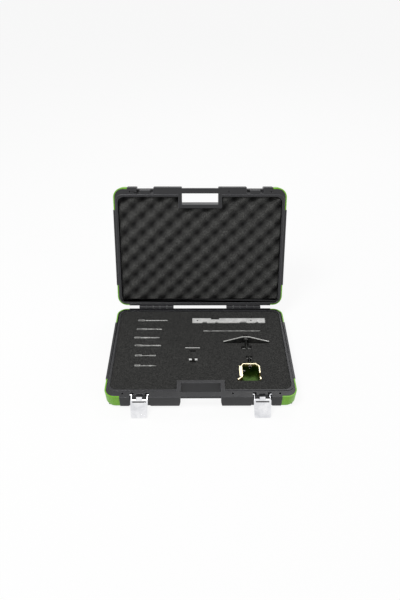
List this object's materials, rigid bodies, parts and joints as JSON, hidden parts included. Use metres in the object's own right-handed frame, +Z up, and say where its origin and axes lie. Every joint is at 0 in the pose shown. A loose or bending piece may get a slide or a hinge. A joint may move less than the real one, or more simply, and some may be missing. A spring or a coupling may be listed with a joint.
{
  "type": "tool case with engine timing tools",
  "caption": "Open hard plastic carrying case with green corner caps, draw latches, egg-crate lid foam and an engine timing tool set in a foam insert.",
  "frame": {"origin": "centre of the base's flat underside", "axes": "+X to the right seen from the front, +Y to the back where the hinges are, +Z up; the lid stands open at its stop"},
  "size_m": [0.48, 0.5296, 0.3672],
  "materials": {
    "black_plastic": "moulded, fine matt texture",
    "green_plastic": "moulded, lime green, satin",
    "base_foam": "charcoal closed-cell foam",
    "lid_foam": "charcoal open-cell egg-crate foam",
    "latch_chrome": "chrome plated pressed steel",
    "tool_steel": "turned, oiled steel",
    "bright_steel": "ground bright steel",
    "dark_steel": "black oxide steel",
    "yellow_zinc": "yellow passivated zinc plate on steel"
  },
  "bodies": {
    "base": {"base_shell": "black_plastic", "base_foam": "base_foam", "base_cap_front_left": "green_plastic", "base_cap_front_right": "green_plastic", "base_cap_back_left": "green_plastic", "base_cap_back_right": "green_plastic", "hinge_pin_left": "tool_steel", "hinge_pin_right": "tool_steel"},
    "lid": {"lid_shell": "black_plastic", "lid_foam": "lid_foam", "lid_cap_front_left": "green_plastic", "lid_cap_front_right": "green_plastic", "lid_cap_back_left": "green_plastic", "lid_cap_back_right": "green_plastic"},
    "link_left": {"latch_link_left": "latch_chrome"},
    "link_right": {"latch_link_right": "latch_chrome"},
    "lever_left": {"latch_lever_left": "latch_chrome"},
    "lever_right": {"latch_lever_right": "latch_chrome"},
    "timing_pin_1": {"timing_pin_1": "tool_steel"},
    "timing_pin_2": {"timing_pin_2": "tool_steel"},
    "timing_pin_3": {"timing_pin_3": "tool_steel"},
    "timing_pin_4": {"timing_pin_4": "tool_steel"},
    "timing_pin_5": {"timing_pin_5": "tool_steel"},
    "timing_pin_6": {"timing_pin_6": "tool_steel"},
    "setting_bar": {"setting_bar": "bright_steel"},
    "tensioner_rod": {"tensioner_rod": "tool_steel"},
    "chevron_clamp": {"chevron_plate": "dark_steel", "chevron_nut": "tool_steel"},
    "chevron_screw": {"chevron_screw": "dark_steel", "chevron_tommy_bar": "tool_steel"},
    "bracket": {"bracket": "yellow_zinc", "bracket_nut": "tool_steel", "bracket_side_screw": "tool_steel"},
    "bracket_screw": {"bracket_screw": "dark_steel", "bracket_tommy_bar": "tool_steel"},
    "setting_plate": {"setting_plate": "tool_steel"},
    "forked_insert": {"forked_insert": "tool_steel"}
  },
  "joints": [
    {"name": "lid_hinge", "type": "hinge", "parent": "base", "child": "lid", "pos_m": [0, 0.176, 0.0402], "axis": [-1, 0, 0], "range_deg": [-109.5, 0]},
    {"name": "link_left_swing", "type": "hinge", "parent": "base", "child": "link_left", "pos_m": [-0.151, -0.159, 0.036], "axis": [1, 0, 0], "range_deg": [-79.15, 0]},
    {"name": "lever_left_swing", "type": "hinge", "parent": "link_left", "child": "lever_left", "pos_m": [-0.151, -0.17179, 0.03031], "axis": [-1, 0, 0], "range_deg": [-122.6, 0]},
    {"name": "link_right_swing", "type": "hinge", "parent": "base", "child": "link_right", "pos_m": [0.151, -0.159, 0.036], "axis": [1, 0, 0], "range_deg": [-79.15, 0]},
    {"name": "lever_right_swing", "type": "hinge", "parent": "link_right", "child": "lever_right", "pos_m": [0.151, -0.17179, 0.03031], "axis": [-1, 0, 0], "range_deg": [-122.6, 0]},
    {"name": "timing_pin_1_lift", "type": "slide", "parent": "base", "child": "timing_pin_1", "axis": [0, 0, 1], "range_m": [0, 0.06]},
    {"name": "timing_pin_2_lift", "type": "slide", "parent": "base", "child": "timing_pin_2", "axis": [0, 0, 1], "range_m": [0, 0.06]},
    {"name": "timing_pin_3_lift", "type": "slide", "parent": "base", "child": "timing_pin_3", "axis": [0, 0, 1], "range_m": [0, 0.06]},
    {"name": "timing_pin_4_lift", "type": "slide", "parent": "base", "child": "timing_pin_4", "axis": [0, 0, 1], "range_m": [0, 0.06]},
    {"name": "timing_pin_5_lift", "type": "slide", "parent": "base", "child": "timing_pin_5", "axis": [0, 0, 1], "range_m": [0, 0.06]},
    {"name": "timing_pin_6_lift", "type": "slide", "parent": "base", "child": "timing_pin_6", "axis": [0, 0, 1], "range_m": [0, 0.06]},
    {"name": "setting_bar_lift", "type": "slide", "parent": "base", "child": "setting_bar", "axis": [0, 0, 1], "range_m": [0, 0.06]},
    {"name": "tensioner_rod_lift", "type": "slide", "parent": "base", "child": "tensioner_rod", "axis": [0, 0, 1], "range_m": [0, 0.06]},
    {"name": "chevron_clamp_lift", "type": "slide", "parent": "base", "child": "chevron_clamp", "axis": [0, 0, 1], "range_m": [0, 0.06]},
    {"name": "bracket_lift", "type": "slide", "parent": "base", "child": "bracket", "axis": [0, 0, 1], "range_m": [0, 0.06]},
    {"name": "setting_plate_lift", "type": "slide", "parent": "base", "child": "setting_plate", "axis": [0, 0, 1], "range_m": [0, 0.06]},
    {"name": "forked_insert_lift", "type": "slide", "parent": "base", "child": "forked_insert", "axis": [0, 0, 1], "range_m": [0, 0.06]},
    {"name": "chevron_screw_turn", "type": "hinge", "parent": "chevron_clamp", "child": "chevron_screw", "pos_m": [0.125, 0.05, 0.0325], "axis": [0, 1, 0], "continuous": true},
    {"name": "bracket_screw_turn", "type": "hinge", "parent": "bracket", "child": "bracket_screw", "pos_m": [0.129, -0.0545, 0.0325], "axis": [0, 1, 0], "continuous": true}
  ],
  "couplings": [
    {"joint": "lever_left_swing", "follows": "link_left_swing", "ratio": 1.5483},
    {"joint": "lever_right_swing", "follows": "link_right_swing", "ratio": 1.5483}
  ]
}
